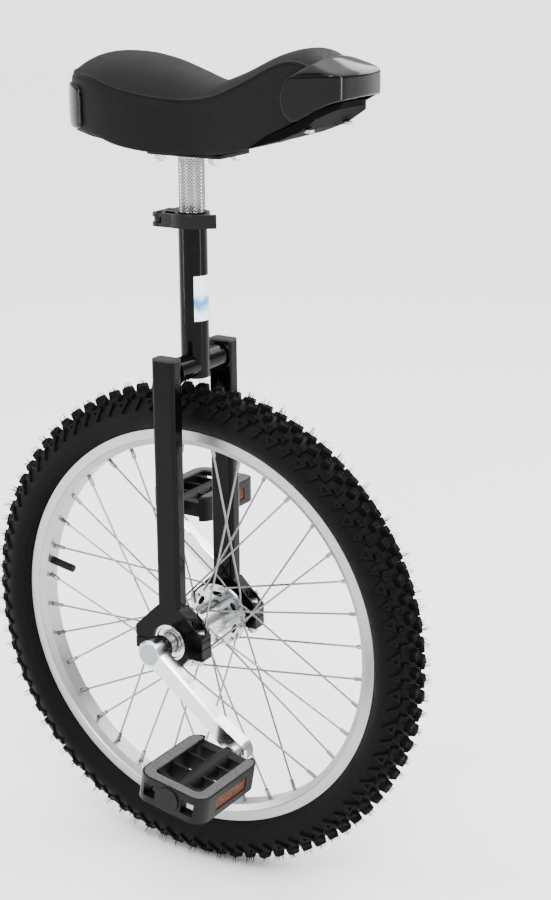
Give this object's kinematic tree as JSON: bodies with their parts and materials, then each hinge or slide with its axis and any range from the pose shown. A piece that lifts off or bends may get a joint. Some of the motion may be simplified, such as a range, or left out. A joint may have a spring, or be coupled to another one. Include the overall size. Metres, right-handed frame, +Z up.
{
  "type": "unicycle",
  "caption": "Direct-drive unicycle with spoked wheel, fork frame, cranks with pedals and a height-adjustable padded saddle held by a quick-release clamp.",
  "frame": {"origin": "ground contact point straight below the axle", "axes": "+X forward, the way the saddle's lift handle points; +Y to the rider's left along the axle; +Z up"},
  "size_m": [0.5078, 0.411, 0.8355],
  "materials": {
    "paint": "gloss black",
    "cap_metal": "satin grey",
    "clamp_black": "satin black",
    "zinc": "zinc plated",
    "bearing_steel": "ground",
    "hub_chrome": "bright plated",
    "spoke_steel": "bright",
    "rim_alloy": "satin brushed",
    "tyre_rubber": "matte black rubber",
    "tube_rubber": "matte",
    "crank_alloy": "polished",
    "spindle_steel": "plated",
    "cap_grey": "satin grey",
    "pedal_plastic": "fine grain black",
    "grip_grey": "speckled grit",
    "amber": "amber, prismatic",
    "post_steel": "knurled, plated",
    "plate_steel": "black",
    "base_plastic": "moulded black",
    "vinyl": "fine grain black vinyl over foam",
    "gloss_plastic": "gloss black"
  },
  "bodies": {
    "frame": {"bearing_outer_race_left": "bearing_steel", "bearing_outer_race_right": "bearing_steel", "clamp_collar": "clamp_black", "clamp_skewer": "clamp_black", "crown_stub_left": "paint", "crown_stub_right": "paint", "crown_welds": "paint", "fork_leg_left": "paint", "fork_leg_right": "paint", "holder_bolts": "zinc", "holder_lower_left": "paint", "holder_lower_right": "paint", "holder_nuts": "zinc", "holder_upper_left": "paint", "holder_upper_right": "paint", "leg_cap_left": "cap_metal", "leg_cap_right": "cap_metal", "seat_tube": "paint"},
    "wheel": {"tyre": "tyre_rubber", "inner_tube": "tube_rubber", "rim_tape": "tube_rubber", "rim": "rim_alloy", "spokes": "spoke_steel", "spoke_nipples": "spoke_steel", "valve_stem": "tube_rubber", "valve_cap": "tube_rubber", "hub_shell": "hub_chrome", "axle": "hub_chrome", "axle_spacer_left": "hub_chrome", "axle_spacer_right": "hub_chrome", "bearing_inner_race_left": "bearing_steel", "bearing_inner_race_right": "bearing_steel", "crank_left": "crank_alloy", "crank_right": "crank_alloy", "crank_bolts": "zinc", "dust_caps": "cap_grey", "pedal_spindle_left": "spindle_steel", "pedal_spindle_right": "spindle_steel"},
    "pedal_left": {"pedal_body_left": "pedal_plastic", "pedal_end_cap_left": "pedal_plastic", "pedal_grips_left": "grip_grey", "pedal_reflectors_left": "amber"},
    "pedal_right": {"pedal_body_right": "pedal_plastic", "pedal_end_cap_right": "pedal_plastic", "pedal_grips_right": "grip_grey", "pedal_reflectors_right": "amber"},
    "saddle": {"seat_post": "post_steel", "saddle_plate": "plate_steel", "saddle_base": "base_plastic", "saddle_studs": "zinc", "saddle_nuts": "zinc", "saddle_pad": "vinyl", "lift_handle": "gloss_plastic", "rear_bumper": "gloss_plastic", "handle_screws": "zinc"},
    "clamp_lever": {"clamp_lever": "clamp_black"},
    "clamp_nut": {"clamp_nut": "clamp_black"},
    "bearing_cage_left": {"bearing_balls_left": "bearing_steel"},
    "bearing_cage_right": {"bearing_balls_right": "bearing_steel"}
  },
  "joints": [
    {"name": "wheel_spin", "type": "hinge", "parent": "frame", "child": "wheel", "pos_m": [0, 0, 0.254], "axis": [0, 1, 0], "continuous": true},
    {"name": "pedal_left_spin", "type": "hinge", "parent": "wheel", "child": "pedal_left", "pos_m": [-0.09953, 0.15, 0.33289], "axis": [0, 1, 0], "continuous": true},
    {"name": "pedal_right_spin", "type": "hinge", "parent": "wheel", "child": "pedal_right", "pos_m": [0.09953, -0.15, 0.17511], "axis": [0, 1, 0], "continuous": true},
    {"name": "seat_post_slide", "type": "slide", "parent": "frame", "child": "saddle", "axis": [0, 0, 1], "range_m": [-0.04, 0.06]},
    {"name": "clamp_lever_swing", "type": "hinge", "parent": "frame", "child": "clamp_lever", "pos_m": [-0.027, -0.0165, 0.6705], "axis": [0, 0, -1], "range_deg": [0, 150]},
    {"name": "clamp_nut_turn", "type": "hinge", "parent": "frame", "child": "clamp_nut", "pos_m": [-0.027, 0.013, 0.6705], "axis": [0, 1, 0], "continuous": true},
    {"name": "cage_left_turn", "type": "hinge", "parent": "frame", "child": "bearing_cage_left", "pos_m": [0, 0.049, 0.254], "axis": [0, 1, 0], "continuous": true},
    {"name": "cage_right_turn", "type": "hinge", "parent": "frame", "child": "bearing_cage_right", "pos_m": [0, -0.049, 0.254], "axis": [0, 1, 0], "continuous": true}
  ],
  "couplings": [
    {"joint": "cage_left_turn", "follows": "wheel_spin", "ratio": 0.382},
    {"joint": "cage_right_turn", "follows": "wheel_spin", "ratio": 0.382}
  ]
}
